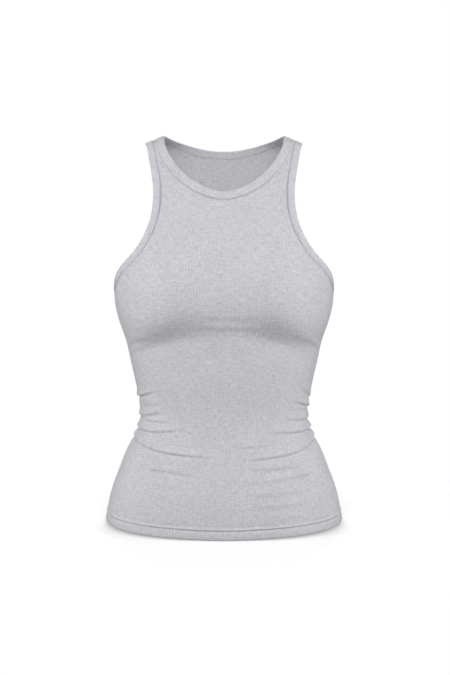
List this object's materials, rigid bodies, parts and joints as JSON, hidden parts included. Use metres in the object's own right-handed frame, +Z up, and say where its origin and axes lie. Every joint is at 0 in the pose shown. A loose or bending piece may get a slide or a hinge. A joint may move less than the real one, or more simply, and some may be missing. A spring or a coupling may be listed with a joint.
{
  "type": "tank top",
  "caption": "Fitted sleeveless rib-knit tank top with a round bound neck and cut-in bound armholes, in its hollow worn form.",
  "frame": {"origin": "on the centre line, level with the two shoulder ridges, where the wearer's shoulders hold the garment up", "axes": "+Z up along the garment's length, -Y towards the front, +X towards the wearer's left"},
  "size_m": [0.3314, 0.2284, 0.5353],
  "materials": {
    "rib_knit": "fine vertical rib knit, washed, matt with a slight fuzz"
  },
  "bodies": {
    "root": {"front": "rib_knit", "back": "rib_knit", "neck_binding": "rib_knit", "armhole_binding_left": "rib_knit", "armhole_binding_right": "rib_knit"}
  },
  "joints": []
}
